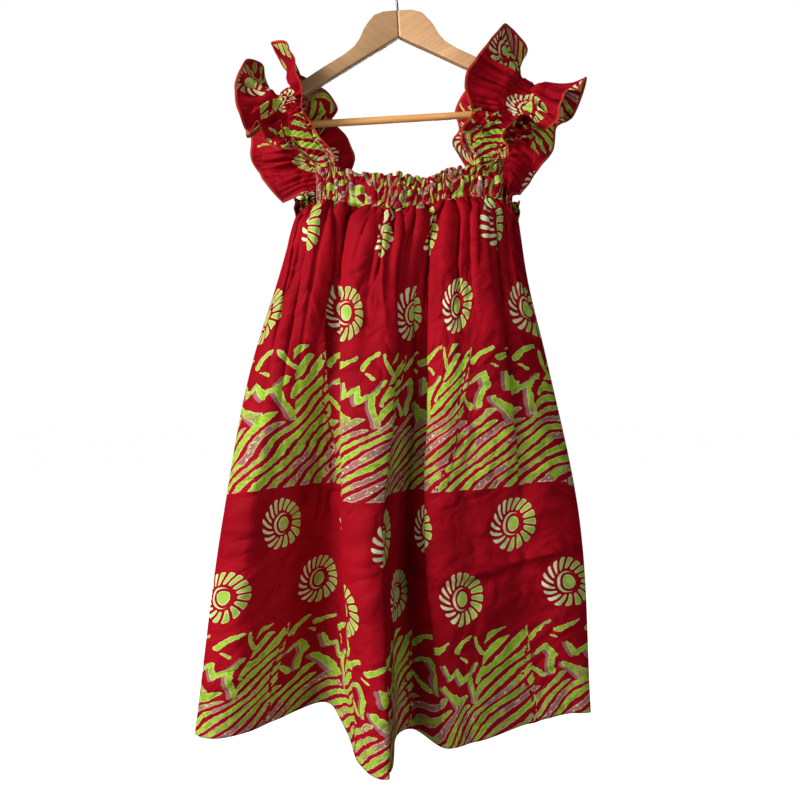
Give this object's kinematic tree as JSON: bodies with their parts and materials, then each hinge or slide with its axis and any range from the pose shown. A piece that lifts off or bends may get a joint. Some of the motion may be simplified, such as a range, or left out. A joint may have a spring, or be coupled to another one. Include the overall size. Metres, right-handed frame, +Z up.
{
  "type": "ruffle strap dress on a wooden hanger",
  "caption": "Sleeveless wax print dress with an elastic neckline and ruffled straps, hanging in deep folds on a wooden hanger.",
  "frame": {"origin": "inside top of the hanger's hook, where a rail holds it", "axes": "+Z up, -Y out of the dress's front, +X to the right as seen from the front"},
  "size_m": [0.5882, 0.2405, 1.1225],
  "materials": {
    "cloth": "woven cotton, wax print in green, cream and mauve on red",
    "wood": "satin varnish",
    "bar_wood": "satin varnish",
    "steel": "bright wire"
  },
  "bodies": {
    "root": {"front_panel": "cloth", "back_panel": "cloth", "front_casing": "cloth", "back_casing": "cloth", "strap_left": "cloth", "strap_right": "cloth", "hanger_arm_left": "wood", "hanger_arm_right": "wood", "hanger_bar": "bar_wood", "hanger_hook": "steel"}
  },
  "joints": []
}
